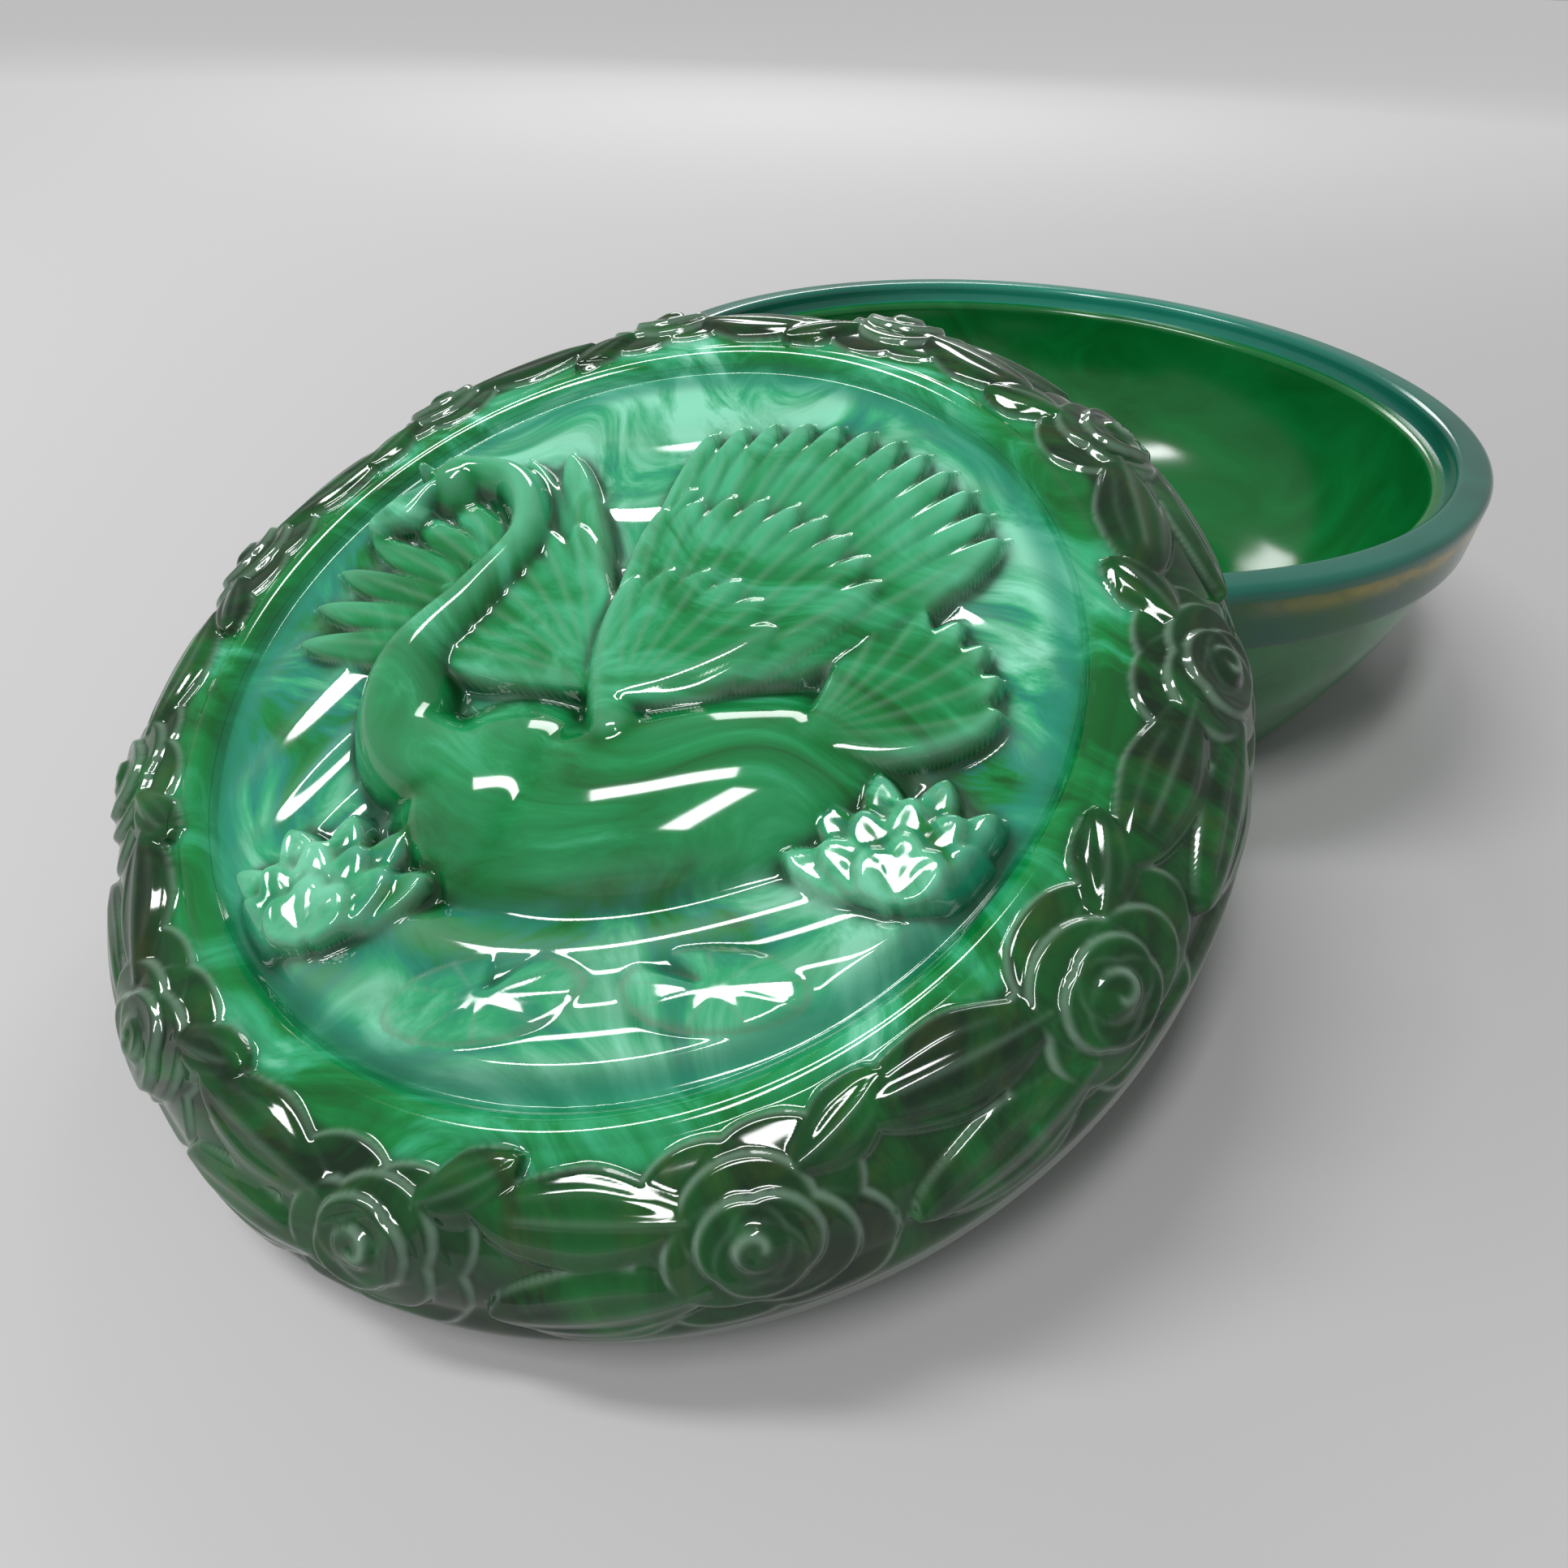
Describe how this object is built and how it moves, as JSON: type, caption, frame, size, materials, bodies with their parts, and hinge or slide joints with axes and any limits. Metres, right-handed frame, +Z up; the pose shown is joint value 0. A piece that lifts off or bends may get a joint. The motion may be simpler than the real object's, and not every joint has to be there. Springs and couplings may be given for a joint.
{
  "type": "lidded glass box",
  "caption": "Round green malachite-glass box: a smooth dished bowl with a flat rim, and a separate domed lid with a rose garland and a sunk relief medallion, leaning on the rim.",
  "frame": {"origin": "centre of the bowl's flat ground base, on the surface that the box stands on", "axes": "+Z up out of the bowl's mouth; the lid leans on the rim towards -Y, so +Y points from the lid's middle to the bowl's axis"},
  "size_m": [0.15, 0.2435, 0.0654],
  "materials": {
    "bowl_glass": "fire-polished opaque malachite glass, emerald inside, teal rim",
    "lid_glass": "pressed opaque malachite glass, mint and dark green swirls"
  },
  "bodies": {
    "bowl": {"bowl": "bowl_glass"},
    "lid": {"lid": "lid_glass"}
  },
  "joints": [
    {"name": "lid_lift", "type": "slide", "parent": "bowl", "child": "lid", "axis": [0, 0, 1], "range_m": [0, 0.08]}
  ]
}
